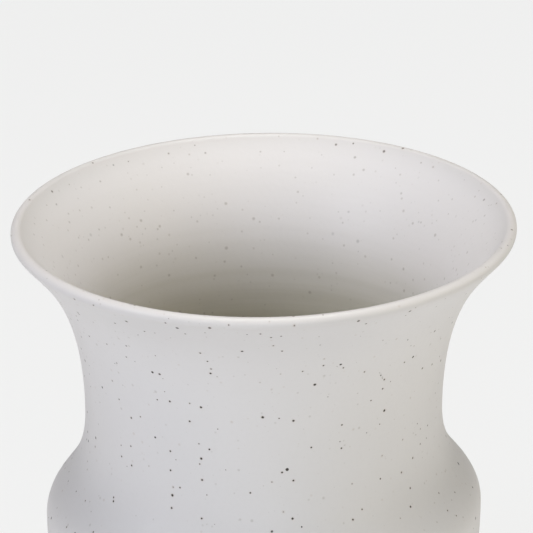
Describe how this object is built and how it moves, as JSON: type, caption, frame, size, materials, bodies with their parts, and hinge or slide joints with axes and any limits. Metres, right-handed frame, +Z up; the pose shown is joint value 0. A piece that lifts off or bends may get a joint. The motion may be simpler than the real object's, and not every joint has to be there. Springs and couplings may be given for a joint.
{
  "type": "vase",
  "caption": "Speckled white stoneware vase with a round belly, drawn-in waist and tall flaring collar, luted from clay sections under one matt glaze coat.",
  "frame": {"origin": "on the vase's axis, at the height of the surface that it stands on", "axes": "+Z up along the vase's axis; the rings of the pot rise very slightly towards +X; Y completes the frame"},
  "size_m": [0.2, 0.2, 0.2412],
  "materials": {
    "stoneware_clay": "unglazed fired stoneware, fine grog, matt",
    "matt_glaze": "satin-matt white glaze with small dark brown iron speckles",
    "silicone": "frosted clear silicone"
  },
  "bodies": {
    "root": {"foot_ring": "stoneware_clay", "base_dish": "stoneware_clay", "lower_belly": "stoneware_clay", "upper_belly": "stoneware_clay", "shoulder": "stoneware_clay", "neck": "stoneware_clay", "flared_mouth": "stoneware_clay", "rolled_lip": "stoneware_clay", "glaze_coat": "matt_glaze", "bumper_1": "silicone", "bumper_2": "silicone", "bumper_3": "silicone", "bumper_4": "silicone"}
  },
  "joints": []
}
